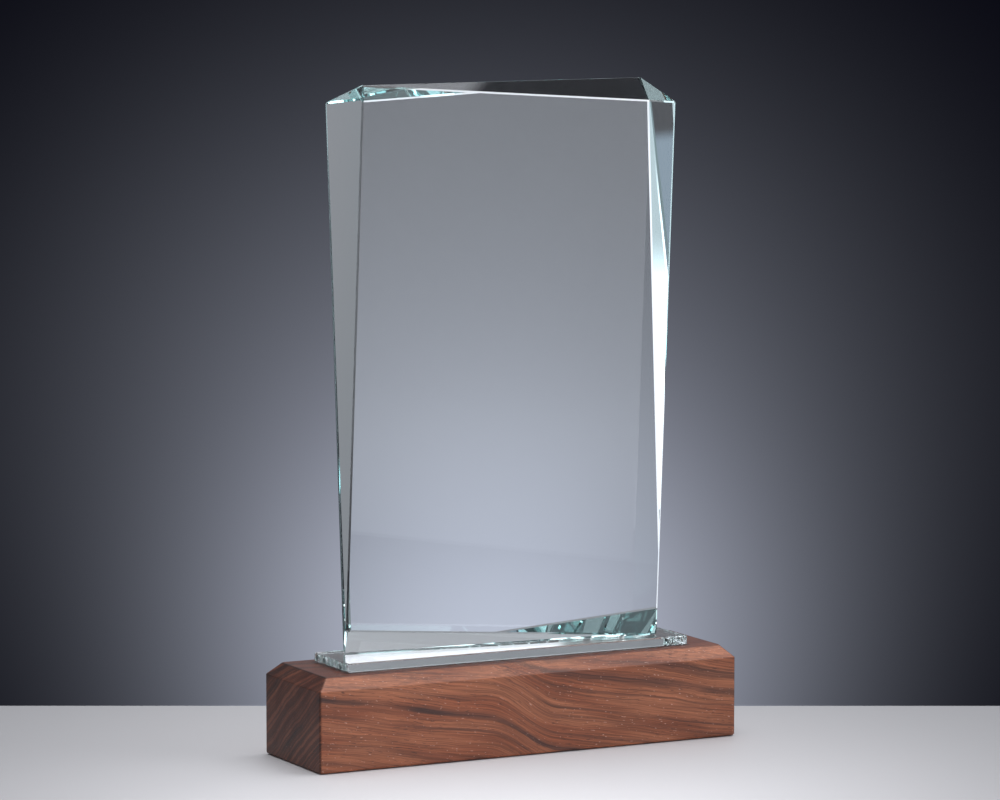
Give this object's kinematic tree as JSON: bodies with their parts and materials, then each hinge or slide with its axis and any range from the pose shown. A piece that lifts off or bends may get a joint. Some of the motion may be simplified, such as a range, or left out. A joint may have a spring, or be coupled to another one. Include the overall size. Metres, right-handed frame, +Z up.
{
  "type": "glass block award on a wooden plinth",
  "caption": "Clear glass block with twisted bevelled sides, bonded upright on a thin glass foot plate, on a chamfered walnut plinth.",
  "frame": {"origin": "centre of the underside, on the surface that the award stands on", "axes": "+Z up, +X along the plinth to the right as seen from the front, -Y towards the viewer of the front face"},
  "size_m": [0.201, 0.0556, 0.288],
  "materials": {
    "walnut": "oiled satin, straight to wavy grain with open pores",
    "baize": "short felted pile",
    "clear_tape": "thin clear acrylic tape",
    "clear_glass": "polished, ground arrises",
    "clear_bond": "hardened clear adhesive"
  },
  "bodies": {
    "root": {"walnut_plinth": "walnut", "baize_sheet": "baize", "front_tape_strip": "clear_tape", "back_tape_strip": "clear_tape", "foot_plate": "clear_glass", "block_bond": "clear_bond", "crystal_block": "clear_glass"}
  },
  "joints": []
}
